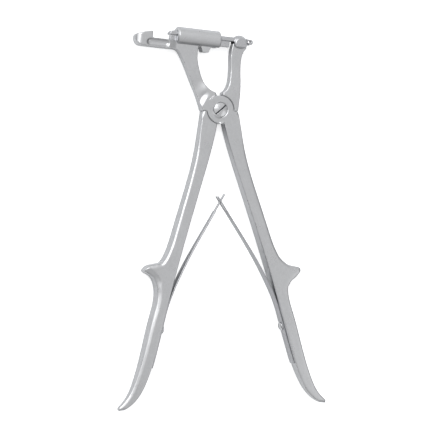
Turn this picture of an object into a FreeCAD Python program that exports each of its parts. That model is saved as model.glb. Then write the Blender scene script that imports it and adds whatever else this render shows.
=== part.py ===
# Rib shears of the guillotine kind, lying on their back.
# Millimetres. +Y runs from the grips to the jaws, +Z faces the viewer, and the
# origin is on the pivot axis, in the flat back face of the joint.
import FreeCAD, Part
import math
import os
from FreeCAD import Vector

# Pivot joint: two round laps, one in front of the other
JOINT_THICK = 10.5
DISC_R = 12.5
FRONT_DISC_R = 13.0
LAP_GAP = 0.10
SEAM_GAP = 0.15
SHOULDER_Y = -1.2
SHOULDER_GAP = 0.12

# Pivot screw
PIVOT_SHANK_R = 4.0
PIVOT_HEAD_R = 6.0
PIVOT_HEAD_SEAT = 2.6
PIVOT_HEAD_RISE = 0.9
PIVOT_RUN = 0.04
HEAD_GAP = 0.25
RING_BEVEL = 0.45

# Screws in general
THREAD_FIT = 0.02
SLOT_WIDTH = 1.1
SLOT_DEPTH = 1.0
PIVOT_SLOT_DEPTH = 1.6
PIVOT_SLOT_ANGLE = 40.0

# Handles: inner and outer edge of the right one; the left one is its mirror
HANDLE_TOP_IN = (3.3, -12.6)
HANDLE_IN = ((5.4, -22.0), (17.4, -61.5), (38.0, -124.6), (50.6, -166.7),
             (62.2, -208.8), (71.2, -236.0), (78.6, -249.4), (91.6, -260.0))
HANDLE_OUT_TOP = ((16.3, 0.8), (20.1, -22.0), (24.5, -44.0), (29.4, -61.5), (43.1, -103.6), (50.9, -124.8))
SPUR_TIP = (72.6, -140.7)
SPUR_TIP_R = 3.2
SPUR_TOP_MID = (58.2, -134.9)
SPUR_LOW_MID = (62.9, -149.4)
HANDLE_OUT_LOW = ((61.0, -158.9), (65.9, -181.0), (73.4, -209.0), (81.6, -234.8), (88.4, -248.8),
                  (95.8, -256.9))
HANDLE_END_R = 2.6
HANDLE_SWING = 0.8
HANDLE_HALF_AT_JOINT = 5.25
HANDLE_HALF_AT_GRIP = 7.2
HANDLE_HALF_AT_END = 3.6
GRIP_Y = -175.0
HANDLE_MID_Y = -90.0
HANDLE_END_Y = -270.0
HANDLE_OUT_BEVEL = 1.6
HANDLE_IN_BEVEL = 0.5

# Legs between the joint and the jaws
LEG_HALF_THICK = 4.0
LEG_SCOOP_HALF = 3.3
LEFT_LEG_OUT = ((-16.7, -1.2), (-17.6, 2.0), (-24.0, 17.5), (-30.9, 35.0), (-36.3, 46.8),
                (-38.9, 50.8), (-43.0, 52.3))
LEFT_LEG_IN = ((-4.6, 15.3), (-9.65, 17.5), (-16.5, 26.2), (-19.3, 35.0), (-21.0, 43.8),
               (-20.6, 51.5))
LEFT_NOTCH = (-2.8, 12.2)
RIGHT_LEG_IN = ((2.4, 15.3), (6.0, 18.0), (8.9, 26.2), (9.8, 38.0), (10.8, 53.5))
RIGHT_LEG_OUT = ((16.4, -1.2), (17.1, 4.3), (18.4, 15.0), (19.0, 32.0), (19.8, 45.0),
                 (21.0, 49.2), (24.2, 53.4))
RIGHT_HEAD_TOP = ((12.4, 58.4), (16.4, 58.6), (21.6, 57.0), (24.6, 54.8))
RIGHT_NOTCH = (2.3, 12.2)
LEG_EVEN_Y = 40.0
LEG_FALL_FROM = 3.0
LEG_FALL_TO = 13.0

# Slide axis: it leans down to the right
AXIS_X = -18.0
AXIS_Y = 62.3
AXIS_TILT = 5.0

# Fixed beam, its groove and the hook
BEAM_HALF_DEPTH = 6.2
BEAM_LOW = 12.1
RIM_LOW = 4.2
HOOK_EDGE = 44.4
HOOK_REACH = 60.6
HOOK_TIP_UP = 1.7
HOOK_HEEL = 8.5
BEAM_NECK = 9.0
CUP_WALL = 1.45
SCOOP_R = 4.2
SCOOP_SINK = 1.8
SCOOP_LOW = 8.2
SCOOP_FROM = 29.5
SCOOP_TO = 49.0

# Cutter slide
SLIDE_UP = 4.2
SLIDE_LOW = 5.0
SLIDE_HALF_DEPTH = 4.4
SLIDE_CORNER_R = 1.6
WEB_TOP = 0.4
WEB_HALF_DEPTH = 2.2
WEB_END_GAP = 1.4
SLIDE_FRONT = 28.6
SLIDE_FIT = 0.15
SLIDE_FLOAT = 0.10
NOSE_R = 3.6
GOUGE_R = 7.0
GOUGE_DEPTH = 1.5
BALL_R = 7.6
BALL_SINK = 0.9
BALL_HALF_DEPTH = 6.0
BALL_LOW_R = 9.6
BALL_LOW = 5.3
BALL_PLAY = 0.25
TAIL_END_X = 31.0
TAIL_HALF = 2.4
TAIL_UP = 1.4
TAIL_HALF_DEPTH = 2.8
TAIL_EYE_R = 0.8
TAIL_EYE_LENGTH = 1.7
TAIL_RELIEF = 0.8
TAIL_RELIEF_TOP = -0.1

# Finger of the driving leg, which works in the slide's ball
DRIVE_X = 19.0
DRIVE_UP = 0.4
FINGER_R = 3.0
FINGER_HALF = 2.6
FINGER_PLAY = 0.3
FINGER_LIFT = 1.9
HEAD_SLOT_TOP = 0.7
HEAD_SLOT_GAP = 0.15

# Guide sleeve
SLEEVE_R = 8.2
SLEEVE_LEFT = 22.0
SLEEVE_RIGHT = -18.6
SLEEVE_COUNTER_R = 7.15
SLEEVE_COUNTER_DEPTH = 8.4
SLEEVE_END_BEVEL = 1.5
SLEEVE_FRONT_BEVEL = 1.2
SLEEVE_SEAT = 0.05
LUG_TOP_HALF = 5.2
LUG_LOW_HALF = 2.7
LUG_HALF_DEPTH = 4.7
LUG_LOW = 11.8
LUG_AT = -5.2
TONGUE_HALF_DEPTH = 3.2
TONGUE_LOW = 8.1

# Screw under the sleeve
GUIDE_SCREW_R = 1.5
GUIDE_HEAD_R = 2.3
GUIDE_HEAD_H = 1.5
GUIDE_HEAD_RISE = 0.4
GUIDE_PLAY = 0.1
GUIDE_HEAD_PLAY = 0.15

# Return springs
SPRING_THICK = 1.2
SPRING_BASE_HALF = 4.6
SPRING_TIP_HALF = 3.0
SPRING_SEAT_GAP = 0.05
SPRING_SCREW_Y = -191.0
SPRING_BASE_Y = -224.0
SPRING_LEAVE_Y = -176.0
SPRING_BASE_STEPS = 9
SPRING_FREE = ((45.8, -158.5), (31.9, -131.6), (14.7, -103.6), (0.0, -80.4))
SPRING_FREE_STEPS = 10
SPRING_TIP_REACH = 8.2
TONGUE_TIP_HALF = 1.5
FORK_SLOT_HALF = 1.9
FORK_TIP_REACH = 6.0
CROSS_LENGTH = 9.0
SPRING_SCREW_R = 2.0
SPRING_HEAD_R = 3.9
SPRING_HEAD_H = 2.6
SPRING_SCREW_LENGTH = 5.5
SPRING_SCREW_PLAY = 0.1
SPRING_SCREW_END = 0.3

MID_Z = JOINT_THICK / 2.0
TILT = math.radians(AXIS_TILT)
ALONG = Vector(-math.cos(TILT), math.sin(TILT), 0)
UPWARD = Vector(math.sin(TILT), math.cos(TILT), 0)
FAR = 400.0


def at(point, z=0.0):
    return Vector(point[0], point[1], z)


def on_axis(a, v, z=0.0):
    """Point a along the slide axis towards the hook, v above it, z from its middle."""
    return Vector(AXIS_X, AXIS_Y, MID_Z + z) + ALONG * a + UPWARD * v


def a_of_x(x):
    return (AXIS_X - x) / math.cos(TILT)


def line(p, q):
    return Part.LineSegment(p, q).toShape()


def arc(p, q, r):
    return Part.Arc(p, q, r).toShape()


def curve(points, leave=None, arrive=None):
    """Smooth curve through the points, which may leave and arrive in given directions."""
    spline = Part.BSplineCurve()
    if leave is None:
        spline.interpolate(Points=points)
    else:
        end = points[-1] - points[-2] if arrive is None else arrive
        spline.interpolate(Points=points, InitialTangent=leave, FinalTangent=end)
    return spline.toShape()


def prism(edges, direction):
    """Closed outline swept along a straight direction."""
    return Part.Face(Part.Wire(Part.__sortEdges__(edges))).extrude(direction)


def polygon(points, direction):
    return Part.Face(Part.makePolygon(points + [points[0]])).extrude(direction)


def z_band(low, high, radius=FAR):
    """Round slab about the pivot axis from one height to another."""
    return Part.makeCylinder(radius, high - low, Vector(0, 0, low))


def depth_slab(stations, arrive=None, x_reach=130.0):
    """Slab whose half thickness about the middle plane follows y; its first span is flat."""
    front = [Vector(-x_reach, y, MID_Z + h) for y, h in stations]
    back = [Vector(-x_reach, y, MID_Z - h) for y, h in stations]
    leave = (front[1] - front[0]).normalize()
    outline = [line(front[0], front[1]), curve(front[1:], leave, arrive),
               line(back[0], back[1]), curve(back[1:], leave, arrive),
               line(front[0], back[0]), line(front[-1], back[-1])]
    return prism(outline, Vector(2 * x_reach, 0, 0))


def rounded_tip(centre, toward, radius):
    """Half circle about a centre that bulges toward a direction; start and end points."""
    ahead = Vector(toward).normalize()
    side = Vector(-ahead.y, ahead.x, 0)
    start = centre + side * radius
    end = centre - side * radius
    return start, end, arc(start, centre + ahead * radius, end)


def handle_inner_edge():
    """Inner outline of the right handle, from the crotch to the grip's end."""
    return curve([at(HANDLE_TOP_IN)] + [at(p) for p in HANDLE_IN])


def handle_blank():
    """Right handle with its finger spur, before its edges are rounded."""
    spur_centre = at(SPUR_TIP) - Vector(SPUR_TIP_R, 0, 0)
    spur_start, spur_end, spur_arc = rounded_tip(spur_centre, Vector(1, -0.25, 0), SPUR_TIP_R)
    outer_top = curve([at(p) for p in HANDLE_OUT_TOP + (SPUR_TOP_MID,)] + [spur_start])
    outer_low = curve([spur_end] + [at(p) for p in (SPUR_LOW_MID,) + HANDLE_OUT_LOW])
    inner = handle_inner_edge()
    end_in = at(HANDLE_IN[-1])
    end_out = at(HANDLE_OUT_LOW[-1])
    end_way = outer_low.tangentAt(outer_low.LastParameter)
    end_side = Vector(end_way.y, -end_way.x, 0)
    end_centre = end_out + end_side * HANDLE_END_R
    half_turn = (end_way - end_side) * (HANDLE_END_R * math.sqrt(0.5))
    end_low = end_centre + end_way * HANDLE_END_R
    end_cap = [arc(end_out, end_centre + half_turn, end_low), line(end_low, end_in)]
    top_out = at(HANDLE_OUT_TOP[0])
    top_in = Vector(DISC_R * 0.6, top_out.y, 0)
    root_in = Vector(HANDLE_TOP_IN[0] - 0.6, HANDLE_TOP_IN[1] + 3.0, 0)
    outline = [outer_top, spur_arc, outer_low, inner, line(at(HANDLE_TOP_IN), root_in),
               line(root_in, top_in), line(top_in, top_out)] + end_cap
    blank = prism(outline, Vector(0, 0, JOINT_THICK * 3))
    blank.translate(Vector(0, 0, MID_Z - JOINT_THICK * 1.5))
    stations = [(20.0, HANDLE_HALF_AT_JOINT), (2.0, HANDLE_HALF_AT_JOINT),
                (HANDLE_MID_Y, 0.45 * HANDLE_HALF_AT_JOINT + 0.55 * HANDLE_HALF_AT_GRIP),
                (GRIP_Y, HANDLE_HALF_AT_GRIP), (GRIP_Y - 45.0, 0.9 * HANDLE_HALF_AT_GRIP),
                (HANDLE_END_Y, HANDLE_HALF_AT_END * 0.75)]
    return blank.common(depth_slab(stations))


def handle_solid():
    """Right handle: its outer edge is well bevelled all along, its inner one hardly."""
    blank = handle_blank()
    inner = handle_inner_edge()

    def flat_edges(shape):
        low = SHOULDER_Y - 0.2
        return [e for e in shape.Edges if is_rim(e) and mid_point(e).y < low and not is_top(e)]

    def is_top(edge):
        return mid_point(edge).y > HANDLE_TOP_IN[1] and edge.Length < JOINT_THICK

    def beside_inner(edge):
        middle = mid_point(edge)
        return Part.Vertex(Vector(middle.x, middle.y, 0)).distToShape(inner)[0] < 0.3

    outer_edges = [e for e in flat_edges(blank) if not beside_inner(e)]
    bevelled = blank.makeChamfer(HANDLE_OUT_BEVEL, outer_edges)
    inner_edges = [e for e in flat_edges(bevelled) if beside_inner(e) and e.Length > FAR / 10]
    return bevelled.makeChamfer(HANDLE_IN_BEVEL, inner_edges)


def mid_point(edge):
    first, last = edge.ParameterRange
    return edge.valueAt((first + last) / 2.0)


def is_rim(edge):
    """True for an edge of the front or back outline, which runs across Z."""
    first, last = edge.ParameterRange
    steps = [first + (last - first) * f for f in (0.1, 0.5, 0.9)]
    return max(abs(edge.tangentAt(s).z) for s in steps) < 0.5


def lap_cut(shape, low, high):
    """Room for the other lever's lap, a hair larger than its disc."""
    return shape.cut(z_band(low, high, DISC_R + SEAM_GAP))


def left_leg():
    """Leg of the fixed jaw, up to the tongue that the sleeve sits on."""
    seat_left = on_axis(SLEEVE_LEFT + 5.0, -SLIDE_LOW - SLIDE_FLOAT, -MID_Z)
    seat_right = on_axis(a_of_x(LEFT_LEG_IN[-1][0]) - 1.6, -SLIDE_LOW - SLIDE_FLOAT, -MID_Z)
    low_out = at((LEFT_LEG_OUT[0][0], SHOULDER_Y + SHOULDER_GAP / 2))
    under = Vector(-DISC_R * 0.6, low_out.y, 0)
    notch = at(LEFT_NOTCH)
    inside = Vector(notch.x, notch.y - 4.0, 0)
    outer = curve([low_out] + [at(p) for p in LEFT_LEG_OUT[1:]])
    inner = curve([at(p) for p in LEFT_LEG_IN])
    outline = [outer, line(at(LEFT_LEG_OUT[-1]), seat_left), line(seat_left, seat_right),
               line(seat_right, at(LEFT_LEG_IN[-1])), inner, line(at(LEFT_LEG_IN[0]), notch),
               line(notch, inside), line(inside, under), line(under, low_out)]
    blank = prism(outline, Vector(0, 0, JOINT_THICK))
    stations = [(-5.0, JOINT_THICK / 2), (LEG_FALL_FROM, JOINT_THICK / 2), (LEG_FALL_TO, LEG_SCOOP_HALF),
                (26.0, LEG_HALF_THICK), (LEG_EVEN_Y, LEG_HALF_THICK)]
    return blank.common(depth_slab(stations, Vector(0, 1, 0)).fuse(even_slab()))


def even_slab():
    """Upper part of both legs, which keeps one thickness."""
    corner = Vector(-FAR / 2, LEG_EVEN_Y, MID_Z - LEG_HALF_THICK)
    return Part.makeBox(FAR, FAR / 10, 2 * LEG_HALF_THICK, corner)


def beam_side():
    """Side outline of the beam and the hook, swept over the beam's whole depth."""
    half = Vector(0, 0, 2 * BEAM_HALF_DEPTH)

    def p(a, v):
        return on_axis(a, v, -BEAM_HALF_DEPTH)

    heel = p(HOOK_REACH, -BEAM_LOW * 0.45)
    turn = p(HOOK_REACH - HOOK_HEEL, -BEAM_LOW)
    knuckle = p(HOOK_REACH - 2.2, -BEAM_LOW * 0.8)
    brow = p(HOOK_REACH - 1.9, -BEAM_LOW * 0.23)
    chin = p(HOOK_REACH - 0.5, -BEAM_LOW * 0.32)
    tip = p(HOOK_EDGE + 0.3, HOOK_TIP_UP)
    edge = p(HOOK_EDGE, -RIM_LOW)
    right_low = p(SLEEVE_LEFT - 3.0, -BEAM_LOW)
    right_top = p(SLEEVE_LEFT - 3.0, -RIM_LOW)
    top = curve([brow, p(HOOK_REACH - 8.0, 0.1), tip])
    outline = [line(right_low, turn), arc(turn, knuckle, heel), arc(heel, chin, brow), top,
               line(tip, edge), line(edge, right_top), line(right_top, right_low)]
    return prism(outline, half)


def plan(points_and_arcs, low, high):
    """Outline in the plane of the slide axis and Z, swept from one height to another."""
    return prism(points_and_arcs, UPWARD * (high - low))


def beam_plan():
    """Seen from above, the beam narrows into the leg and ends in a round nose."""
    low = -BEAM_LOW - 1.0
    high = HOOK_TIP_UP + 1.0
    nose = HOOK_REACH - BEAM_HALF_DEPTH
    wide_at = SLEEVE_LEFT + BEAM_NECK
    neck_end = SLEEVE_LEFT - 0.45 * BEAM_NECK

    def p(a, z):
        return on_axis(a, low, z)

    def flank(side):
        points = [p(nose, side * BEAM_HALF_DEPTH), p(wide_at, side * BEAM_HALF_DEPTH)]
        between = (BEAM_HALF_DEPTH + LEG_HALF_THICK) / 2
        neck = [points[1], p(SLEEVE_LEFT + 0.45 * BEAM_NECK, side * between),
                p(SLEEVE_LEFT + 0.3, side * LEG_HALF_THICK), p(neck_end, side * LEG_HALF_THICK)]
        return [line(points[0], points[1]), curve(neck)]

    front = flank(1)
    back = flank(-1)
    far_end = line(p(neck_end, LEG_HALF_THICK), p(neck_end, -LEG_HALF_THICK))
    nose_arc = arc(p(nose, BEAM_HALF_DEPTH), p(HOOK_REACH, 0), p(nose, -BEAM_HALF_DEPTH))
    return plan(front + back + [far_end, nose_arc], low, high)


def cup_space():
    """Hollow of the hook, open above, that the cutter's end goes into."""
    half = BEAM_HALF_DEPTH - CUP_WALL
    low = -SLIDE_LOW - SLIDE_FLOAT
    nose = HOOK_REACH - BEAM_HALF_DEPTH

    def p(a, z):
        return on_axis(a, low, z)

    mouth = HOOK_EDGE - 2.0
    outline = [line(p(mouth, -half), p(mouth, half)), line(p(mouth, half), p(nose, half)),
               arc(p(nose, half), p(nose + half, 0), p(nose, -half)),
               line(p(nose, -half), p(mouth, -half))]
    return plan(outline, low, SLIDE_UP + 4.0)


def groove_space():
    """Channel of the slide's web, along the top of the beam."""
    half = WEB_HALF_DEPTH + SLIDE_FIT
    low = -SLIDE_LOW - SLIDE_FLOAT
    corners = [on_axis(SLEEVE_LEFT - 6.0, low, -half), on_axis(SLEEVE_LEFT - 6.0, low, half),
               on_axis(HOOK_EDGE, low, half), on_axis(HOOK_EDGE, low, -half)]
    return polygon(corners, UPWARD * (SLIDE_UP + SLIDE_LOW + 4.0))


def sleeve_room():
    """Space that the sleeve takes at the right-hand end of the beam."""
    low = -SLIDE_LOW - SLIDE_FLOAT
    corners = [on_axis(SLEEVE_LEFT - 6.0, low, -FAR / 20), on_axis(SLEEVE_LEFT - 6.0, low, FAR / 20),
               on_axis(SLEEVE_LEFT + 0.3, low, FAR / 20), on_axis(SLEEVE_LEFT + 0.3, low, -FAR / 20)]
    return polygon(corners, UPWARD * FAR / 10)


def front_scoop():
    """Long thumbnail-shaped hollow in the front of the beam."""
    z = BEAM_HALF_DEPTH + SCOOP_R - SCOOP_SINK
    start = on_axis(SCOOP_FROM + SCOOP_R * 0.6, -SCOOP_LOW, z)
    length = SCOOP_TO - SCOOP_FROM - 1.2 * SCOOP_R
    tool = Part.makeCylinder(SCOOP_R, length, start, ALONG)
    ends = [Part.makeSphere(SCOOP_R, start), Part.makeSphere(SCOOP_R, start + ALONG * length)]
    return tool.fuse(ends)


def beam_and_hook():
    blank = beam_side().common(beam_plan())
    return blank.cut([cup_space(), groove_space(), sleeve_room(), front_scoop()])


def tongue():
    """Bar under the slide that carries the sleeve's lug."""
    low = -TONGUE_LOW
    start = a_of_x(LEFT_LEG_IN[-1][0]) + 3.0
    stop = SLEEVE_RIGHT + SLEEVE_COUNTER_DEPTH + 0.3
    corners = [on_axis(start, low, -TONGUE_HALF_DEPTH), on_axis(start, low, TONGUE_HALF_DEPTH),
               on_axis(stop, low, TONGUE_HALF_DEPTH), on_axis(stop, low, -TONGUE_HALF_DEPTH)]
    bar = polygon(corners, UPWARD * (TONGUE_LOW - SLIDE_LOW - SLIDE_FLOAT))
    return bar.cut(guide_hole(GUIDE_SCREW_R + THREAD_FIT, -TONGUE_LOW - 1.0, -SLIDE_LOW - 0.5))


def guide_hole(radius, low, high):
    return Part.makeCylinder(radius, high - low, on_axis(LUG_AT, low), UPWARD)


def spring_screw_frame():
    """Point on the right handle's inner face under the spring screw, and the way out of it."""
    edge = handle_inner_edge()
    point, tangent = edge_at_y(edge, SPRING_SCREW_Y)
    return Vector(point.x, point.y, MID_Z), inward(tangent)


def edge_at_y(edge, y):
    """Point and direction where an edge that falls steadily crosses a height y."""
    first, last = edge.ParameterRange
    for _ in range(50):
        middle = (first + last) / 2.0
        if edge.valueAt(middle).y > y:
            first = middle
        else:
            last = middle
    return edge.valueAt(first), edge.tangentAt(first)


def start_of(edge):
    return edge.valueAt(edge.FirstParameter)


def end_of(edge):
    return edge.valueAt(edge.LastParameter)


def inward(tangent):
    """Normal of the right handle's inner edge that points to the middle line."""
    normal = Vector(tangent.y, -tangent.x, 0).normalize()
    return normal if normal.x < 0 else normal * -1


def right_handle():
    point, out = spring_screw_frame()
    depth = SPRING_SCREW_LENGTH + SPRING_SCREW_END
    hole = Part.makeCylinder(SPRING_SCREW_R + THREAD_FIT, depth + 1.0, point - out * depth, out)
    return handle_solid().cut(hole)


def mirror(shape):
    return shape.mirror(Vector(0, 0, 0), Vector(1, 0, 0))


def swung(shape):
    """Both handles, with their springs, lean a little to the right of the head."""
    turned = shape.copy()
    turned.rotate(Vector(0, 0, 0), Vector(0, 0, 1), HANDLE_SWING)
    return turned


def below_shoulder(shape):
    """Cuts a handle flat where the other lever's leg meets it."""
    return shape.cut(Part.makeBox(FAR, FAR, FAR, Vector(-FAR / 2, SHOULDER_Y, -FAR / 2)))


def fixed_jaw_lever(handle):
    """Front lever: right handle, front lap, left leg, beam and hook."""
    solid = left_leg().fuse([below_shoulder(swung(handle)), beam_and_hook(), tongue()])
    solid = lap_cut(solid, -FAR / 10, MID_Z + LAP_GAP / 2)
    disc = z_band(MID_Z + LAP_GAP / 2, JOINT_THICK, FRONT_DISC_R)
    disc = disc.cut(driver_sector())
    solid = solid.fuse(disc)
    seat = z_band(JOINT_THICK - PIVOT_HEAD_SEAT - LAP_GAP / 2, JOINT_THICK + 1, PIVOT_HEAD_R + HEAD_GAP)
    bore = z_band(-1, JOINT_THICK, PIVOT_SHANK_R + PIVOT_RUN)
    ring = Part.makeCone(PIVOT_HEAD_R + HEAD_GAP, PIVOT_HEAD_R + HEAD_GAP + 2 * RING_BEVEL,
                         2 * RING_BEVEL, Vector(0, 0, JOINT_THICK - RING_BEVEL))
    return solid.cut([seat, bore, ring]).removeSplitter()


def driver_sector():
    """Part of the larger front disc that would reach into the driving lever."""
    ring = z_band(-1, JOINT_THICK + 1, FRONT_DISC_R + 5).cut(z_band(-1, JOINT_THICK + 1, DISC_R))
    left_top = Vector(-FAR / 10, SHOULDER_Y, -1)
    corners = [Vector(0, 0, -1), left_top, Vector(-FAR / 10, -FAR / 10, -1),
               Vector(FAR / 10, -FAR / 10, -1), Vector(FAR / 10, FAR / 10, -1),
               Vector(LEFT_NOTCH[0], FAR / 10, -1), Vector(LEFT_NOTCH[0], 0, -1)]
    return ring.common(polygon(corners, Vector(0, 0, JOINT_THICK + 2)))


def drive_point():
    """Centre of the finger at rest, on the slide's axis frame."""
    return (AXIS_X - DRIVE_X + DRIVE_UP * math.sin(TILT)) / math.cos(TILT)


def right_leg():
    """Leg of the driving lever, with the finger that moves the slide."""
    low_out = at((RIGHT_LEG_OUT[0][0], SHOULDER_Y + SHOULDER_GAP / 2))
    under = Vector(DISC_R * 0.6, low_out.y, 0)
    notch = at(RIGHT_NOTCH)
    inside = Vector(notch.x, notch.y - 4.0, 0)
    outer = curve([low_out] + [at(p) for p in RIGHT_LEG_OUT[1:]])
    inner = curve([at(p) for p in RIGHT_LEG_IN])
    top = [at(p) for p in RIGHT_HEAD_TOP]
    outline = [outer, line(at(RIGHT_LEG_OUT[-1]), top[3]), line(top[3], top[2]), line(top[2], top[1]),
               line(top[1], top[0]), line(top[0], at(RIGHT_LEG_IN[-1])), inner,
               line(at(RIGHT_LEG_IN[0]), notch), line(notch, inside), line(inside, under),
               line(under, low_out)]
    blank = prism(outline, Vector(0, 0, JOINT_THICK))
    between = (LEG_HALF_THICK + JOINT_THICK / 2) / 2
    stations = [(-5.0, JOINT_THICK / 2), (11.0, JOINT_THICK / 2), (24.0, between),
                (LEG_EVEN_Y, LEG_HALF_THICK)]
    leg = blank.common(depth_slab(stations, Vector(0, 1, 0)).fuse(even_slab()))
    centre = on_axis(drive_point(), DRIVE_UP, -FINGER_HALF)
    finger = Part.makeCylinder(FINGER_R, 2 * FINGER_HALF, centre)
    half = FINGER_R * 0.86
    neck = polygon([centre + Vector(-half, 0, 0), centre + Vector(half, 0, 0),
                    centre + Vector(half, -5, 0), centre + Vector(-half, -5, 0)],
                   Vector(0, 0, 2 * FINGER_HALF))
    return leg.fuse([finger, neck])


def driver_lever(handle):
    """Rear lever: left handle, rear lap, right leg and finger."""
    solid = right_leg().fuse(below_shoulder(swung(mirror(handle))))
    solid = lap_cut(solid, MID_Z - LAP_GAP / 2, FAR / 10)
    solid = solid.fuse(z_band(0, MID_Z - LAP_GAP / 2, DISC_R))
    return solid.cut(z_band(-1, JOINT_THICK, PIVOT_SHANK_R + THREAD_FIT)).removeSplitter()


def dome(radius, rise, base, way):
    """Cap of a sphere that stands on a round base."""
    ball_r = (radius * radius + rise * rise) / (2 * rise)
    ball = Part.makeSphere(ball_r, base - way * (ball_r - rise))
    return ball.common(Part.makeCylinder(radius, rise + 1.0, base, way))


def slotted(head, top, way, across, radius, depth=SLOT_DEPTH):
    """Cuts a driver slot across a head."""
    side = way.cross(across).normalize()
    corner = top - way * depth - across * (radius + 1) - side * (SLOT_WIDTH / 2)
    corners = [corner, corner + across * 2 * (radius + 1),
               corner + across * 2 * (radius + 1) + side * SLOT_WIDTH, corner + side * SLOT_WIDTH]
    return head.cut(polygon(corners, way * (depth + 1)))


def pivot_screw():
    up = Vector(0, 0, 1)
    shank = z_band(0, JOINT_THICK - PIVOT_HEAD_SEAT + 0.5, PIVOT_SHANK_R)
    head = z_band(JOINT_THICK - PIVOT_HEAD_SEAT, JOINT_THICK, PIVOT_HEAD_R)
    cap = dome(PIVOT_HEAD_R, PIVOT_HEAD_RISE, Vector(0, 0, JOINT_THICK), up)
    angle = math.radians(PIVOT_SLOT_ANGLE)
    across = Vector(math.cos(angle), math.sin(angle), 0)
    solid = shank.fuse([head, cap])
    top = Vector(0, 0, JOINT_THICK + 0.4)
    return slotted(solid, top, up, across, PIVOT_HEAD_R, PIVOT_SLOT_DEPTH).removeSplitter()


def tee_section(a, room=0.0):
    """Outline of the slide across its axis, grown by a clearance."""
    head = SLIDE_HALF_DEPTH + room
    web = WEB_HALF_DEPTH + room
    up = SLIDE_UP + room
    step = WEB_TOP - room
    low = -SLIDE_LOW - SLIDE_FLOAT * (1 if room else 0)
    r = SLIDE_CORNER_R
    k = r * (1 - math.sqrt(0.5))

    def p(z, v):
        return on_axis(a, v, z)

    return [line(p(-web, low), p(web, low)), line(p(web, low), p(web, step)),
            line(p(web, step), p(head, step)), line(p(head, step), p(head, up - r)),
            arc(p(head, up - r), p(head - k, up - k), p(head - r, up)),
            line(p(head - r, up), p(-head + r, up)),
            arc(p(-head + r, up), p(-head + k, up - k), p(-head, up - r)),
            line(p(-head, up - r), p(-head, step)), line(p(-head, step), p(-web, step)),
            line(p(-web, step), p(-web, low))]


def cutter_slide():
    """Slide with a gouge-shaped cutting end, a ball for the finger and a tail."""
    ball_a = drive_point()
    bar = prism(tee_section(ball_a), ALONG * (SLIDE_FRONT - ball_a))
    web_end = a_of_x(RIGHT_LEG_IN[-1][0]) + WEB_END_GAP
    head_slot = channel(ball_a - BALL_R, web_end, LEG_HALF_THICK + HEAD_SLOT_GAP, HEAD_SLOT_TOP)
    solid = bar.fuse([slide_ball(ball_a), slide_tail(ball_a)])
    pocket_r = FINGER_R + FINGER_PLAY
    pocket_half = FINGER_HALF + HEAD_SLOT_GAP
    pocket = Part.makeCylinder(pocket_r, 2 * pocket_half,
                               on_axis(ball_a, DRIVE_UP + FINGER_LIFT, -pocket_half))
    mouth = polygon([on_axis(ball_a - pocket_r, 0, -pocket_half), on_axis(ball_a + pocket_r, 0, -pocket_half),
                     on_axis(ball_a + pocket_r, DRIVE_UP + FINGER_LIFT, -pocket_half),
                     on_axis(ball_a - pocket_r, DRIVE_UP + FINGER_LIFT, -pocket_half)],
                    Vector(0, 0, 2 * pocket_half))
    gouge = Part.makeCylinder(GOUGE_R, 4 * SLIDE_LOW,
                              on_axis(SLIDE_FRONT + GOUGE_R - GOUGE_DEPTH, -2 * SLIDE_LOW), UPWARD)
    relief = channel(ball_a - BALL_R - TAIL_RELIEF, ball_a, LEG_HALF_THICK + HEAD_SLOT_GAP, TAIL_RELIEF_TOP)
    return solid.cut([head_slot, relief, pocket, mouth, gouge, nose_corner()]).removeSplitter()


def slide_ball(ball_a):
    """Ball about the finger, with flat cheeks and a lens-shaped lower rim."""
    ball = Part.makeSphere(BALL_R, on_axis(ball_a, -BALL_SINK))
    rim = Part.makeCylinder(BALL_LOW_R, 2 * BALL_HALF_DEPTH,
                            on_axis(ball_a, BALL_LOW_R - BALL_LOW, -BALL_HALF_DEPTH))
    bore = Part.makeCylinder(SLEEVE_COUNTER_R - BALL_PLAY, 4 * BALL_R, on_axis(ball_a - 2 * BALL_R, 0), ALONG)
    return ball.common(rim).common(bore)


def nose_corner():
    """Material that leaves when the cutter's upper corner is rounded."""
    half = SLIDE_HALF_DEPTH + 1
    inner = on_axis(SLIDE_FRONT - NOSE_R, SLIDE_UP - NOSE_R, -half)
    block = polygon([inner, on_axis(SLIDE_FRONT + 1, SLIDE_UP - NOSE_R, -half),
                     on_axis(SLIDE_FRONT + 1, SLIDE_UP + 1, -half),
                     on_axis(SLIDE_FRONT - NOSE_R, SLIDE_UP + 1, -half)], Vector(0, 0, 2 * half))
    return block.cut(Part.makeCylinder(NOSE_R, 2 * half, inner))


def slide_tail(ball_a):
    """Tongue behind the ball, with a small oblong eye."""
    end_a = a_of_x(TAIL_END_X) + TAIL_HALF
    z = -TAIL_HALF_DEPTH
    low = TAIL_UP - TAIL_HALF
    high = TAIL_UP + TAIL_HALF
    start = ball_a - BALL_R * 0.5
    outline = [line(on_axis(start, high + 0.4, z), on_axis(end_a, high, z)),
               arc(on_axis(end_a, high, z), on_axis(end_a - TAIL_HALF, TAIL_UP, z), on_axis(end_a, low, z)),
               line(on_axis(end_a, low, z), on_axis(start, low - 1.6, z)),
               line(on_axis(start, low - 1.6, z), on_axis(start, high + 0.4, z))]
    blank = prism(outline, Vector(0, 0, 2 * TAIL_HALF_DEPTH))
    first = on_axis(end_a + 0.2, TAIL_UP + 0.5, -FAR / 40)
    second = on_axis(end_a + 0.2 + TAIL_EYE_LENGTH, TAIL_UP + 0.2, -FAR / 40)
    eye = Part.makeCylinder(TAIL_EYE_R, FAR / 20, first).fuse(Part.makeCylinder(TAIL_EYE_R, FAR / 20, second))
    side = (second - first).cross(Vector(0, 0, 1)).normalize() * TAIL_EYE_R
    eye = eye.fuse(polygon([first - side, second - side, second + side, first + side],
                           Vector(0, 0, FAR / 20)))
    return blank.cut(eye)


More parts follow.
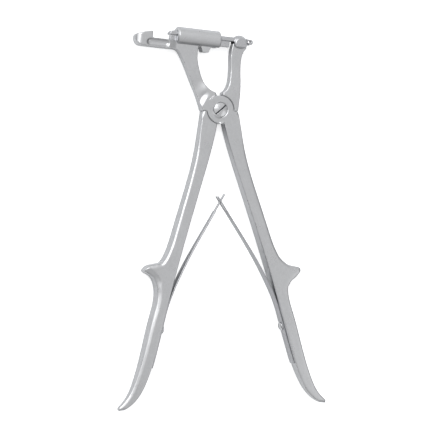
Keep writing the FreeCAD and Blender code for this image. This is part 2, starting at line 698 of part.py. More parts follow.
def guide_sleeve():
    """Round housing that closes over the slide and is screwed to the beam's tongue."""
    length = SLEEVE_LEFT - SLEEVE_RIGHT
    tube = Part.makeCylinder(SLEEVE_R, length, on_axis(SLEEVE_RIGHT, 0), ALONG)
    right_rim = [e for e in tube.Edges if is_round_rim(e, SLEEVE_RIGHT)]
    tube = tube.makeChamfer(SLEEVE_END_BEVEL, right_rim)
    left_rim = [e for e in tube.Edges if is_round_rim(e, SLEEVE_LEFT)]
    tube = tube.makeChamfer(SLEEVE_FRONT_BEVEL, left_rim)

    def p(a, v):
        return on_axis(a, v, -LUG_HALF_DEPTH)

    lug = polygon([p(LUG_AT + LUG_TOP_HALF, -LUG_LOW / 2), p(LUG_AT + LUG_LOW_HALF, -LUG_LOW),
                   p(LUG_AT - LUG_LOW_HALF, -LUG_LOW), p(LUG_AT - LUG_TOP_HALF, -LUG_LOW / 2)],
                  Vector(0, 0, 2 * LUG_HALF_DEPTH))
    bore = prism(tee_section(SLEEVE_RIGHT - 1, SLIDE_FIT), ALONG * (length + 2))
    inner_a = SLEEVE_RIGHT + SLEEVE_COUNTER_DEPTH
    mouth = on_axis(SLEEVE_RIGHT - 1, 0)
    counter = Part.makeCylinder(SLEEVE_COUNTER_R, SLEEVE_COUNTER_DEPTH + 1, mouth, ALONG)
    leg_gate = channel(SLEEVE_RIGHT - 1, inner_a, LEG_HALF_THICK + 2 * HEAD_SLOT_GAP, 0.0)
    slot_end = a_of_x(LEFT_LEG_IN[-1][0]) - 1.9
    leg_slot = channel(slot_end, SLEEVE_LEFT + 1, LEG_HALF_THICK + SLEEVE_SEAT, -SLIDE_LOW)
    seat = channel(inner_a - 0.1, slot_end + 0.1, TONGUE_HALF_DEPTH + SLEEVE_SEAT, -SLIDE_LOW)
    seat = seat.cut(Part.makeCylinder(FAR / 10, FAR, on_axis(0, -TONGUE_LOW - SLEEVE_SEAT), UPWARD * -1))
    screw_way = guide_hole(GUIDE_SCREW_R + GUIDE_PLAY, -LUG_LOW - 1, -SLIDE_LOW)
    head_way = guide_hole(GUIDE_HEAD_R + GUIDE_HEAD_PLAY, -LUG_LOW - 1, -LUG_LOW + GUIDE_HEAD_H)
    return tube.fuse(lug).cut([bore, counter, leg_gate, leg_slot, seat, screw_way, head_way])


def is_round_rim(edge, a):
    """True for the full outer circle of the sleeve at one end."""
    centre = on_axis(a, 0)
    sample = edge.valueAt(edge.FirstParameter) - centre
    return edge.Length > SLEEVE_R * 6 and abs(sample.dot(ALONG)) < 0.01


def channel(start, stop, half, top):
    """Straight channel under a height, from one place on the axis to another."""
    low = -FAR / 20
    corners = [on_axis(start, low, -half), on_axis(start, low, half),
               on_axis(stop, low, half), on_axis(stop, low, -half)]
    return polygon(corners, UPWARD * (top - low))


def guide_screw():
    down = UPWARD * -1
    base = on_axis(LUG_AT, -LUG_LOW + GUIDE_HEAD_H)
    head = Part.makeCylinder(GUIDE_HEAD_R, GUIDE_HEAD_H, base, down)
    cap = dome(GUIDE_HEAD_R, GUIDE_HEAD_RISE, base + down * GUIDE_HEAD_H, down)
    shank = guide_hole(GUIDE_SCREW_R, -LUG_LOW + GUIDE_HEAD_H - 0.2, -SLIDE_LOW - 0.8)
    solid = head.fuse([cap, shank])
    return slotted(solid, base + down * GUIDE_HEAD_H, down, ALONG, GUIDE_HEAD_R).removeSplitter()


def spring_base_side(lift):
    """Curve along the right handle's inner face, a lift away from it."""
    edge = handle_inner_edge()
    points = []
    for i in range(SPRING_BASE_STEPS + 1):
        y = SPRING_BASE_Y + (SPRING_LEAVE_Y - SPRING_BASE_Y) * i / SPRING_BASE_STEPS
        point, tangent = edge_at_y(edge, y)
        points.append(point + inward(tangent) * lift)
    return curve(points)


def spring_free_line(reach):
    """Middle line of the free half: it leaves the handle smoothly and ends past the crossing."""
    point, tangent = edge_at_y(handle_inner_edge(), SPRING_LEAVE_Y)
    points = [point + inward(tangent) * (SPRING_SEAT_GAP + SPRING_THICK / 2)]
    points += [at(p) for p in SPRING_FREE]
    way = (points[-1] - points[-2]).normalize()
    points.append(points[-1] + way * reach)
    return curve(points, tangent * -1)


def spring_free_side(middle, start, offset):
    """Curve beside the free half's middle line, from a given start."""
    first, last = middle.ParameterRange
    points = [start]
    for i in range(1, SPRING_FREE_STEPS + 1):
        s = first + (last - first) * i / SPRING_FREE_STEPS
        tangent = middle.tangentAt(s)
        points.append(middle.valueAt(s) + Vector(-tangent.y, tangent.x, 0).normalize() * offset)
    return curve(points, middle.tangentAt(first))


def spring_blade(reach):
    """Leaf spring: flat on its handle, then bending away, with less and less depth."""
    middle = spring_free_line(reach)
    outer_base = spring_base_side(SPRING_SEAT_GAP)
    inner_base = spring_base_side(SPRING_SEAT_GAP + SPRING_THICK)
    outer_free = spring_free_side(middle, end_of(outer_base), -SPRING_THICK / 2)
    inner_free = spring_free_side(middle, end_of(inner_base), SPRING_THICK / 2)
    base_end = line(start_of(outer_base), start_of(inner_base))
    tip_end = line(end_of(outer_free), end_of(inner_free))
    outline = [outer_base, inner_base, outer_free, inner_free, base_end, tip_end]
    blank = prism(outline, Vector(0, 0, JOINT_THICK * 2))
    blank.translate(Vector(0, 0, MID_Z - JOINT_THICK))
    stations = [(SPRING_BASE_Y - 20, SPRING_BASE_HALF), (SPRING_LEAVE_Y, SPRING_BASE_HALF),
                (SPRING_FREE[1][1], 0.85 * SPRING_BASE_HALF + 0.15 * SPRING_TIP_HALF),
                (SPRING_FREE[-1][1] + 12, SPRING_TIP_HALF)]
    blade = blank.common(depth_slab(stations))
    point, out = spring_screw_frame()
    reach = 2 * SPRING_SCREW_R
    hole = Part.makeCylinder(SPRING_SCREW_R + SPRING_SCREW_PLAY, 2 * reach, point - out * reach, out)
    return blade.cut(hole)


def crossing_block(half):
    """Block about the crossing, from below it to past the springs' tips."""
    x, y = SPRING_FREE[-1]
    size = 5 * CROSS_LENGTH
    return Part.makeBox(size, size, 2 * half, Vector(x - size / 2, y - CROSS_LENGTH, MID_Z - half))


def fork_spring():
    """Right spring, whose tip is a fork."""
    return spring_blade(FORK_TIP_REACH).cut(crossing_block(FORK_SLOT_HALF))


def tongue_spring():
    """Left spring, still on the right, whose tip is a narrow tongue through the fork."""
    waste = crossing_block(JOINT_THICK).cut(crossing_block(TONGUE_TIP_HALF))
    return spring_blade(SPRING_TIP_REACH).cut(waste)


def spring_screw():
    """Domed screw that clamps the right spring to its handle."""
    point, out = spring_screw_frame()
    seat = point + out * (SPRING_THICK + 2 * SPRING_SEAT_GAP)
    length = SPRING_SCREW_LENGTH + SPRING_THICK + 2 * SPRING_SEAT_GAP
    shank = Part.makeCylinder(SPRING_SCREW_R, length, point - out * SPRING_SCREW_LENGTH, out)
    rim = SPRING_HEAD_H * 0.35
    head = Part.makeCylinder(SPRING_HEAD_R, rim, seat, out)
    cap = dome(SPRING_HEAD_R, SPRING_HEAD_H - rim, seat + out * rim, out)
    across = Vector(0, 0, 1).cross(out)
    solid = shank.fuse([head, cap])
    return slotted(solid, seat + out * SPRING_HEAD_H, out, across, SPRING_HEAD_R).removeSplitter()


def save(name, shape):
    shape.exportStep("parts/" + name + ".step")
    box = shape.BoundBox
    print(name, "valid" if shape.isValid() else "BAD", len(shape.Solids), "solids",
          round(shape.Volume, 1), "mm3", [round(c, 1) for c in (box.XMin, box.YMin, box.ZMin,
                                                                box.XMax, box.YMax, box.ZMax)])


def main():
    os.makedirs("parts", exist_ok=True)
    handle = right_handle()
    save("fixed_jaw_lever", fixed_jaw_lever(handle))
    save("driver_lever", driver_lever(handle))
    save("pivot_screw", pivot_screw())
    save("cutter_slide", cutter_slide())
    save("guide_sleeve", guide_sleeve())
    save("guide_screw", guide_screw())
    save("fork_spring", swung(fork_spring()))
    save("tongue_spring", swung(mirror(tongue_spring())))
    save("fork_spring_screw", swung(spring_screw()))
    save("tongue_spring_screw", swung(mirror(spring_screw())))


main()
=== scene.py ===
# %% [markdown]
# # Rib shears: the finish of a forged surgical instrument
# Rib shears are forged from stainless steel, ground on a belt and matted, so they show soft
# edges, thin bright lines and no colour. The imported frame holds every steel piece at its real
# size and place. Each cell below first says what a piece or finish is on the real instrument,
# how it could be made in Blender, and why it is made in the way that follows.

# %% Load the frame
import bpy
import bmesh
import math
import numpy as np
from mathutils import Matrix, Vector
from mathutils.kdtree import KDTree


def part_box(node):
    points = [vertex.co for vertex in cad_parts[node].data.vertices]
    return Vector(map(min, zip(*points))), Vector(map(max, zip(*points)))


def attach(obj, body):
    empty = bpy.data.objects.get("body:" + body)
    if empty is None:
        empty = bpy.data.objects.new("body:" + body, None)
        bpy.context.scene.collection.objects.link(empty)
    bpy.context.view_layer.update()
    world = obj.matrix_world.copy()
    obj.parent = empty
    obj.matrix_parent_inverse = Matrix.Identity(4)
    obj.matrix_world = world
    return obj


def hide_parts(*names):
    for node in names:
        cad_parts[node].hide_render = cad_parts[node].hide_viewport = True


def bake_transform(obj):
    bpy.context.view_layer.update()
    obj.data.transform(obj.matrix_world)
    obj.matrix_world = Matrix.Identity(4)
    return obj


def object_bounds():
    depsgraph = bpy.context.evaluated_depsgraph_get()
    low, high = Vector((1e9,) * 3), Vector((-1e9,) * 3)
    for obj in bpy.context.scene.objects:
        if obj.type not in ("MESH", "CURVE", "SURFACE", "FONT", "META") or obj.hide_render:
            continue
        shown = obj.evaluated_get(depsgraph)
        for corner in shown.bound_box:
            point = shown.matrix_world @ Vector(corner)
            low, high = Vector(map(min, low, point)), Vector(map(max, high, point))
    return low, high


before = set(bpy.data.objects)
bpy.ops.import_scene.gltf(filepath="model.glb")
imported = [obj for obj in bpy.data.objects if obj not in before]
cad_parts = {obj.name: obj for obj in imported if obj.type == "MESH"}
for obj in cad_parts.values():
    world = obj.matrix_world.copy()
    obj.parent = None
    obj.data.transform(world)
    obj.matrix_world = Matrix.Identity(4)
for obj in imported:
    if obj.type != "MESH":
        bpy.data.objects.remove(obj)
cad_box = [list(corner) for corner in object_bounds()]
scene = bpy.context.scene
MM = 0.001
print("the instrument is", [round((b - a) / MM, 1) for a, b in zip(*cad_box)], "mm")

# %% [markdown]
# ## Camera
# The photograph was taken with a long lens from almost straight above and a little to the left,
# so the left sides of the handles show as thin bands. The lens could be guessed by eye, but two
# known lengths, the whole instrument and its joint, give its place and focal length, so the
# camera is set once with numbers. A camera looks along its own -Z, and here the picture's "up"
# is the instrument's +Y.

# %% Camera
PHOTO_PIXELS = 430
FOCAL_PIXELS = 2622.6
SENSOR_MM = 36.0
CAMERA_PLACE = Vector((-785.65, -92.2, 2167.3)) * MM
CAMERA_LOOKS_AT = Vector((-3.81, -92.17, 6.0)) * MM


def make_camera():
    data = bpy.data.cameras.new("camera")
    camera = bpy.data.objects.new("camera", data)
    scene.collection.objects.link(camera)
    forward = (CAMERA_LOOKS_AT - CAMERA_PLACE).normalized()
    right = forward.cross(Vector((0, 1, 0))).normalized()
    up = right.cross(forward)
    turn = Matrix((right, up, -forward)).transposed().to_4x4()
    camera.matrix_world = Matrix.Translation(CAMERA_PLACE) @ turn
    data.sensor_width = SENSOR_MM
    data.lens = SENSOR_MM * FOCAL_PIXELS / PHOTO_PIXELS
    data.clip_start = 0.05
    data.clip_end = 30.0
    scene.camera = camera


make_camera()
print("lens", round(scene.camera.data.lens, 1), "mm")

# %% [markdown]
# ## Small helpers
# Colours are written as hex values, as on a paint card, and one function turns them into the
# linear values that shaders want. Another adds one node with its settings and links, so that a
# material reads as a list of its nodes. Two more give smooth steps, which blend one shape into
# another without a kink.

# %% Colour and node helpers
def linear(code):
    """Hex sRGB colour to linear values, with an alpha of 1."""
    parts = [int(code[i:i + 2], 16) / 255.0 for i in (1, 3, 5)]
    return tuple(c / 12.92 if c <= 0.04045 else ((c + 0.055) / 1.055) ** 2.4 for c in parts) + (1.0,)


def node(tree, kind, inputs=None, **settings):
    """Adds a node; an input's value is a number, a colour or another node's socket."""
    made = tree.nodes.new(kind)
    for name, value in settings.items():
        setattr(made, name, value)
    for name, value in (inputs or {}).items():
        socket = made.inputs[name]
        if isinstance(value, bpy.types.NodeSocket):
            tree.links.new(value, socket)
        else:
            socket.default_value = value
    return made


def eased_step(x):
    """Smooth 0 to 1 between x = 0 and x = 1."""
    x = min(1.0, max(0.0, x))
    return x * x * (3 - 2 * x)


def rise(length, start, stop):
    """Smooth 0 to 1 as a length goes from start to stop, in millimetres; stop may be the smaller."""
    return eased_step((length / MM - start) / (stop - start))


# %% [markdown]
# ## Floor
# The instrument lies on matt white paper. Satin steel shows what stands round it, so the paper is
# part of its finish: the outer side walls mirror open bright paper, and the walls between the
# handles mirror paper that lies in their own shadow. A flat grey for reflections would lose that,
# so glossy rays see the same lit and shadowed paper. The camera sees it lifted to plain white.

# %% Floor
FLOOR_GAP = 0.3 * MM
FLOOR_HALF = 3.0
PAPER = "#E9EAEB"
PAPER_LIFT_FOR_CAMERA = 0.62
PAPER_LIFT_IN_METAL = 0.06


def make_floor():
    low = cad_box[0][2] - FLOOR_GAP
    mesh = bpy.data.meshes.new("floor")
    corners = [(-FLOOR_HALF, -FLOOR_HALF, low), (FLOOR_HALF, -FLOOR_HALF, low),
               (FLOOR_HALF, FLOOR_HALF, low), (-FLOOR_HALF, FLOOR_HALF, low)]
    mesh.from_pydata(corners, [], [(0, 1, 2, 3)])
    floor = bpy.data.objects.new("floor", mesh)
    scene.collection.objects.link(floor)
    material = bpy.data.materials.new("matt_white_paper")
    material.use_nodes = True
    tree = material.node_tree
    tree.nodes.clear()
    rays = node(tree, "ShaderNodeLightPath")
    mirrored = node(tree, "ShaderNodeMath", {0: rays.outputs["Is Glossy Ray"],
                                             1: rays.outputs["Is Transmission Ray"]}, operation="MAXIMUM")
    in_metal = node(tree, "ShaderNodeMath", {0: mirrored.outputs[0], 1: PAPER_LIFT_IN_METAL},
                    operation="MULTIPLY")
    lift = node(tree, "ShaderNodeMath", {0: rays.outputs["Is Camera Ray"], 1: PAPER_LIFT_FOR_CAMERA,
                                         2: in_metal.outputs[0]}, operation="MULTIPLY_ADD")
    paper = node(tree, "ShaderNodeBsdfDiffuse", {"Color": linear(PAPER)})
    glow = node(tree, "ShaderNodeEmission", {"Color": linear("#FFFFFF"), "Strength": lift.outputs[0]})
    both = node(tree, "ShaderNodeAddShader")
    tree.links.new(paper.outputs[0], both.inputs[0])
    tree.links.new(glow.outputs[0], both.inputs[1])
    out = node(tree, "ShaderNodeOutputMaterial")
    tree.links.new(both.outputs[0], out.inputs["Surface"])
    mesh.materials.append(material)
    print("paper lies", round(FLOOR_GAP / MM, 1), "mm under the instrument")


make_floor()

# %% [markdown]
# ## Surroundings
# Round the instrument stands a white tent: a broad window at the upper left, a pale ceiling that
# darkens towards the lower edge and the right, and a dim ring at the horizon. Lamps alone
# would leave the steel black between them. A world shader that looks only at the direction of a
# ray gives every part of the steel something to mirror, at no cost in time.

# %% Surroundings
WINDOW_WAY = Vector((-0.36, 0.40, 0.84)).normalized()
WINDOW_GLOW = 1.35
CEILING_GLOW = 0.80
HORIZON_GLOW = (0.24, 0.74)
RIGHT_SHADE = 0.62


def make_world():
    world = bpy.data.worlds.new("white_tent")
    scene.world = world
    world.use_nodes = True
    tree = world.node_tree
    tree.nodes.clear()
    way = node(tree, "ShaderNodeTexCoord").outputs["Generated"]
    x, y, z = node(tree, "ShaderNodeSeparateXYZ", {0: way}).outputs

    ramps = {}
    for part, axis, start, stop, low, high in (
            ("window left", x, -0.95, -0.70, 0.0, 1.0), ("window right", x, 0.20, -0.08, 0.0, 1.0),
            ("window near", y, 0.09, 0.21, 0.0, 1.0), ("window far", y, 0.97, 0.75, 0.0, 1.0),
            ("window height", z, 0.05, 0.30, 0.0, WINDOW_GLOW),
            ("ring glow", y, 0.15, 0.75, *HORIZON_GLOW), ("ring height", z, 0.55, 0.0, 0.0, 1.0),
            ("ceiling", z, 0.0, 0.55, 0.0, CEILING_GLOW), ("towards the top", y, -0.9, 0.7, 0.80, 1.10),
            ("towards the right", x, 0.45, 0.85, 1.0, RIGHT_SHADE)):
        ramp = node(tree, "ShaderNodeMapRange", {"Value": axis, "From Min": start, "From Max": stop,
                                                 "To Min": low, "To Max": high},
                    interpolation_type="SMOOTHSTEP")
        ramps[part] = ramp.outputs["Result"]
    ring = node(tree, "ShaderNodeMath", {0: ramps["ring glow"], 1: ramps["ring height"],
                                         2: ramps["ceiling"]}, operation="MULTIPLY_ADD")
    window = ramps["window height"]
    for part in ("window left", "window right", "window near", "window far"):
        window = node(tree, "ShaderNodeMath", {0: window, 1: ramps[part]}, operation="MULTIPLY").outputs[0]
    shade = node(tree, "ShaderNodeMath", {0: ramps["towards the top"], 1: ramps["towards the right"]},
                 operation="MULTIPLY")
    tent = node(tree, "ShaderNodeMath", {0: ring.outputs[0], 1: shade.outputs[0], 2: window},
                operation="MULTIPLY_ADD").outputs[0]
    studio = node(tree, "ShaderNodeBackground", {"Color": linear("#FFFFFF"), "Strength": tent})
    plain = node(tree, "ShaderNodeBackground", {"Color": linear("#FFFFFF"), "Strength": 1.0})
    rays = node(tree, "ShaderNodeLightPath")
    mix = node(tree, "ShaderNodeMixShader", {0: rays.outputs["Is Camera Ray"]})
    tree.links.new(studio.outputs[0], mix.inputs[1])
    tree.links.new(plain.outputs[0], mix.inputs[2])
    out = node(tree, "ShaderNodeOutputWorld")
    tree.links.new(mix.outputs[0], out.inputs["Surface"])


make_world()

# %% [markdown]
# ## Lamps
# One large soft box stands in the window's place and draws the white line along the left handle.
# A weak one on the right keeps the far edges readable. Both are area lamps, because a small lamp
# would draw hard spots on satin steel.

# %% Lamps
LAMP_AIM = Vector((0.0, -0.09, 0.0))


def soft_box(name, way, distance, size, power):
    data = bpy.data.lights.new(name, "AREA")
    data.shape = "RECTANGLE"
    data.size, data.size_y = size
    data.energy = power
    lamp = bpy.data.objects.new(name, data)
    scene.collection.objects.link(lamp)
    lamp.location = LAMP_AIM + way * distance
    lamp.rotation_euler = (-way).to_track_quat("-Z", "Y").to_euler()


soft_box("window_box", WINDOW_WAY, 1.6, (0.7, 0.6), 3.2)
soft_box("fill_box", Vector((0.62, -0.25, 0.75)).normalized(), 1.7, (0.8, 0.8), 1.0)
scene.view_settings.view_transform = "Standard"

# %% [markdown]
# ## Copies with one even skin
# The frame's pieces are exact solids with crisp rims, made of long thin triangles. A Bevel
# modifier fails where many such triangles meet, and sculpting needs points that lie evenly. So
# each piece is copied and welded, and the Remesh modifier rebuilds its surface from voxels of one
# size. A few passes of smoothing then ease every rim, as tumbling in stone chips does.

# %% Even skin
WELD = 0.002 * MM
EASE_SHARE = 0.5


def plain_mesh(piece):
    """Turns the piece's modifiers into a plain mesh."""
    graph = bpy.context.evaluated_depsgraph_get()
    graph.update()
    mesh = bpy.data.meshes.new_from_object(piece.evaluated_get(graph))
    old = piece.data
    piece.modifiers.clear()
    piece.data = mesh
    bpy.data.meshes.remove(old)
    return piece


def merged_copy(source):
    """Copy of a frame node as one welded mesh."""
    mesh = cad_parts[source].data.copy()
    mesh.materials.clear()
    work = bmesh.new()
    work.from_mesh(mesh)
    bmesh.ops.remove_doubles(work, verts=work.verts, dist=WELD)
    work.to_mesh(mesh)
    work.free()
    mesh.name = source + "_finished"
    piece = bpy.data.objects.new(mesh.name, mesh)
    scene.collection.objects.link(piece)
    return piece


def even_skin(piece, voxel_mm):
    remesh = piece.modifiers.new("even", "REMESH")
    remesh.mode = "VOXEL"
    remesh.voxel_size = voxel_mm * MM
    return plain_mesh(piece)


def eased(piece, passes, group=""):
    """Smooths the piece, all over or as its vertex group says."""
    smooth = piece.modifiers.new("ease", "SMOOTH")
    smooth.factor = EASE_SHARE
    smooth.iterations = passes
    smooth.vertex_group = group
    return plain_mesh(piece)


# %% [markdown]
# ## Rim wear and painted crease shade
# Handling polishes the rims, so the steels make them a little lighter and glossier. The steels also
# darken the corners and creases, which is painted shade. A shader could ask for the "pointiness"
# of the surface, but that changes with the mesh's density, so the script measures it: how far each
# point stands out from the mean of its neighbours. The number is kept in the mesh as an attribute,
# from 0 in a corner over 0.5 on a flat to 1 on a rim, and the steels read it.

# %% Attribute for rim wear and painted crease shade
WEAR_AND_SHADE_GAIN = 1.6
WEAR_AND_SHADE_SPREAD = 3


def mark_wear_and_crease_shade(piece):
    """Writes the attribute for rim wear and painted crease shade, and says how many triangles the piece has.
    """
    mesh = piece.data
    count = len(mesh.vertices)
    place = np.empty(count * 3)
    mesh.vertices.foreach_get("co", place)
    place = place.reshape(-1, 3)
    normal = np.empty(count * 3)
    mesh.vertices.foreach_get("normal", normal)
    normal = normal.reshape(-1, 3)
    ends = np.empty(len(mesh.edges) * 2, dtype=np.int64)
    mesh.edges.foreach_get("vertices", ends)
    a, b = ends[0::2], ends[1::2]
    links = np.maximum(np.bincount(a, minlength=count) + np.bincount(b, minlength=count), 1)

    def neighbours(values):
        at_a = np.bincount(a, weights=values[b], minlength=count)
        at_b = np.bincount(b, weights=values[a], minlength=count)
        return (at_a + at_b) / links

    mean = np.stack([neighbours(place[:, axis]) for axis in range(3)], axis=1)
    step = np.linalg.norm(place[a] - place[b], axis=1).mean()
    bulge = ((place - mean) * normal).sum(axis=1) / step
    for _ in range(WEAR_AND_SHADE_SPREAD):
        bulge = 0.5 * bulge + 0.5 * neighbours(bulge)
    wear = np.clip(0.5 + WEAR_AND_SHADE_GAIN * bulge, 0.0, 1.0).astype(np.float32)
    attribute = mesh.attributes.new("wear", "FLOAT", "POINT")
    attribute.data.foreach_set("value", wear)
    for face in mesh.polygons:
        face.use_smooth = True
    triangles = sum(len(face.vertices) - 2 for face in mesh.polygons)
    lowest, highest = round(float(wear.min()), 2), round(float(wear.max()), 2)
    print(piece.name, triangles, "triangles, wear", lowest, "to", highest)


# %% [markdown]
# ## Steels
# The levers are martensitic stainless steel, ground with a fine belt and matted with glass beads,
# which gives the eye a soft grey sheen without colour. Metal takes all its colour from
# reflection, so metallic is 1, the IOR stays at its default and the base colour is a pale grey.
# The belt leaves lines along each piece. Real ones are about 0.05 mm wide and would not show, so
# they are drawn 0.5 mm wide and faint. A cloudy second pattern varies the sheen as matting does.

# %% Satin steel
CLOUD_MM = 9.0
FLECK_MM = 1.6


def satin_steel(name, paint, roughness, lean, grain_mm=0.5, grain_depth=0.010):
    """Ground steel: paint is its hex colour, lean the direction of the belt lines from +Y."""
    material = bpy.data.materials.new(name)
    material.use_nodes = True
    tree = material.node_tree
    tree.nodes.clear()
    pale = linear(paint)
    place = node(tree, "ShaderNodeTexCoord").outputs["Object"]
    turned = node(tree, "ShaderNodeMapping", {"Vector": place, "Rotation": (0, 0, lean)})
    along = node(tree, "ShaderNodeMapping", {"Vector": turned.outputs[0], "Scale": (1.0, 0.04, 0.5)})
    grain = node(tree, "ShaderNodeTexNoise", {"Vector": along.outputs[0], "Scale": 1.0 / (grain_mm * MM),
                                              "Detail": 3.0, "Roughness": 0.6})
    cloud = node(tree, "ShaderNodeTexNoise", {"Vector": place, "Scale": 1.0 / (CLOUD_MM * MM),
                                              "Detail": 3.0})
    fleck = node(tree, "ShaderNodeTexNoise", {"Vector": place, "Scale": 1.0 / (FLECK_MM * MM),
                                              "Detail": 2.0})
    both = node(tree, "ShaderNodeMath", {0: grain.outputs["Fac"], 1: fleck.outputs["Fac"]}, operation="ADD")
    shade = node(tree, "ShaderNodeMapRange", {"Value": both.outputs[0], "From Min": 0.7, "From Max": 1.3,
                                              "To Min": 0.94, "To Max": 1.04})
    wear = node(tree, "ShaderNodeAttribute", attribute_name="wear").outputs["Fac"]
    # Painted shade: the base colour darkens to 0.42 of itself in corners and creases.
    painted_crease_shade = node(tree, "ShaderNodeMapRange", {"Value": wear, "From Min": 0.12, "From Max": 0.42,
                                               "To Min": 0.42, "To Max": 1.0},
                  interpolation_type="SMOOTHSTEP")
    rubbed = node(tree, "ShaderNodeMapRange", {"Value": wear, "From Min": 0.56, "From Max": 0.85,
                                               "To Min": 1.0, "To Max": 1.12},
                  interpolation_type="SMOOTHSTEP")
    # The base colour's level is the painted crease shade times the lighter worn rims.
    edges = node(tree, "ShaderNodeMath", {0: painted_crease_shade.outputs["Result"], 1: rubbed.outputs["Result"]},
                 operation="MULTIPLY")
    level = node(tree, "ShaderNodeMath", {0: edges.outputs[0], 1: shade.outputs["Result"]},
                 operation="MULTIPLY")
    tint = node(tree, "ShaderNodeVectorMath", {0: pale[:3], "Scale": level.outputs[0]}, operation="SCALE")
    matted = node(tree, "ShaderNodeMapRange", {"Value": cloud.outputs["Fac"],
                                               "From Min": 0.3, "From Max": 0.7,
                                               "To Min": roughness - 0.03, "To Max": roughness + 0.04})
    polish = node(tree, "ShaderNodeMapRange", {"Value": wear, "From Min": 0.55, "From Max": 0.9,
                                               "To Min": 0.0, "To Max": 0.08})
    rough = node(tree, "ShaderNodeMath", {0: matted.outputs["Result"], 1: polish.outputs["Result"]},
                 operation="SUBTRACT")
    bump = node(tree, "ShaderNodeBump", {"Height": grain.outputs["Fac"], "Strength": 0.3,
                                         "Distance": grain_depth * MM})
    shader = node(tree, "ShaderNodeBsdfPrincipled", {"Base Color": tint.outputs[0], "Metallic": 1.0,
                                                     "Roughness": rough.outputs[0],
                                                     "Normal": bump.outputs[0]})
    out = node(tree, "ShaderNodeOutputMaterial")
    tree.links.new(shader.outputs[0], out.inputs["Surface"])
    return material


HANDLE_LEAN = math.radians(16.0)
SLIDE_LEAN = math.radians(95.0)
hook_side_steel = satin_steel("belt_ground_steel_right", "#C4C5C7", 0.30, -HANDLE_LEAN)
ball_side_steel = satin_steel("belt_ground_steel_left", "#C4C5C7", 0.30, HANDLE_LEAN)
sleeve_steel = satin_steel("turned_sleeve_steel", "#C8C9CB", 0.30, SLIDE_LEAN)
cutter_steel = satin_steel("ground_cutter_steel", "#BEBFC2", 0.27, SLIDE_LEAN)
screw_steel = satin_steel("turned_screw_steel", "#CBCCCE", 0.22, 0.0, grain_mm=0.3)
# Dark steel for the faces down in the screw slots: painted shade in the recess.
slot_shade_steel = satin_steel("sawn_slot_steel", "#55575A", 0.55, 0.0, grain_mm=0.3)
spring_steel = satin_steel("rolled_spring_steel", "#B4B5B8", 0.32, 0.0)
print("steels", [m.name for m in bpy.data.materials if "steel" in m.name])

# %% [markdown]
# ## Forged handles
# A forged handle has no sharp corner outside, where the palm lies. Above the spur its front runs
# over into the side in one round, which starts at nothing under the shoulder. Below the spur the
# left grip has a narrow ground facet that ends in a small step, and the right one a plain round.
# The solids have a plain bevel there. A Bevel modifier can't change its width along the handle, so
# the points of the even skin are moved: each one's distance to the outer wall says how far it
# sinks. In the tables below a side of 1 is the right handle and -1 the left one.

# %% Stations along the handles
MID_Z = 5.25 * MM
SOLID_BEVEL = 1.6 * MM
TIP_Y = -141.2
UPPER_ROUND = ((400.0, 0.15), (0.0, 0.15), (-12.0, 1.0), (-40.0, 2.5), (-125.0, 2.9), (-400.0, 3.0))
GRIP_REACH = {
    -1: ((400.0, 0.0), (-135.0, 0.0), (-141.0, 4.5), (-147.0, 5.5), (-158.0, 3.8), (-190.0, 3.4),
         (-230.0, 3.2), (-250.0, 3.0), (-262.0, 2.2), (-400.0, 2.0)),
    1: ((400.0, 0.0), (-135.0, 0.0), (-142.0, 2.2), (-400.0, 2.2))}
GRIP_DEPTH = {
    -1: ((400.0, 0.0), (-135.0, 0.0), (-147.0, 2.6), (-165.0, 2.0), (-240.0, 1.9), (-262.0, 1.6),
         (-400.0, 1.5)),
    1: ((400.0, 0.0), (-135.0, 0.0), (-142.0, 1.6), (-400.0, 1.6))}
GRIP_STEP = {
    -1: ((400.0, 0.0), (-136.0, 0.0), (-142.0, 0.7), (-147.0, 0.8), (-156.0, 0.4), (-170.0, 0.25),
         (-245.0, 0.25), (-262.0, 0.1), (-400.0, 0.1)),
    1: ((400.0, 0.0), (-400.0, 0.0))}
STEP_WIDE = ((400.0, 1.8), (-150.0, 1.8), (-168.0, 1.0), (-400.0, 1.0))
ROUND_STARTS = -0.5
ROUND_IS_FULL = -7.5
ROUND_REACHES = 9.0 * MM
DEEPEST_SHARE = 0.8


def at_station(stations, y):
    """Value in metres at a height y, eased between (y, value) stations in millimetres."""
    for (y1, v1), (y2, v2) in zip(stations, stations[1:]):
        if y2 * MM <= y <= y1 * MM:
            return (v1 + (v2 - v1) * eased_step((y1 * MM - y) / ((y1 - y2) * MM))) * MM
    return stations[-1][1] * MM


def flat_tree(points):
    """Finds the nearest of some points in the XY plane."""
    tree = KDTree(len(points))
    for i, point in enumerate(points):
        tree.insert((point.x, point.y, 0.0), i)
    tree.balance()
    return tree


def front_heights(mesh, step=3 * MM):
    """Height of the front face for each slice of y."""
    rows = {}
    for vertex in mesh.vertices:
        row = round(vertex.co.y / step)
        rows[row] = max(rows.get(row, 0.0), vertex.co.z)

    def height(y):
        row = math.floor(y / step)
        low, high = rows.get(row, MID_Z), rows.get(row + 1, rows.get(row, MID_Z))
        return low + (high - low) * (y / step - row)
    return height


# %% Rounds of the handles
WALL_ROW = 2.0 * MM
WALL_BAND = 6.0 * MM
HOLE_STARTS = -160.0 * MM


def quarter(distance, reach, depth):
    """Fall of a quarter ellipse at a distance from the wall."""
    inside = max(0.0, reach - distance)
    return depth * (1 - math.sqrt(max(0.0, 1 - (inside / reach) ** 2))) if reach > 0 else 0.0


def outer_wall(mesh, side):
    """Points of the wall on the palm's side, without the spring screw's hole below HOLE_STARTS."""
    edge = {}
    for vertex in mesh.vertices:
        row = round(vertex.co.y / WALL_ROW)
        edge[row] = max(edge.get(row, -1.0), vertex.co.x * side)
    wall = []
    for vertex in mesh.vertices:
        co = vertex.co
        if co.y < ROUND_STARTS * MM and abs(vertex.normal.z) < 0.3 and vertex.normal.x * side > 0.08:
            if co.y > HOLE_STARTS or co.x * side > edge[round(co.y / WALL_ROW)] - WALL_BAND:
                wall.append(co.copy())
    return wall


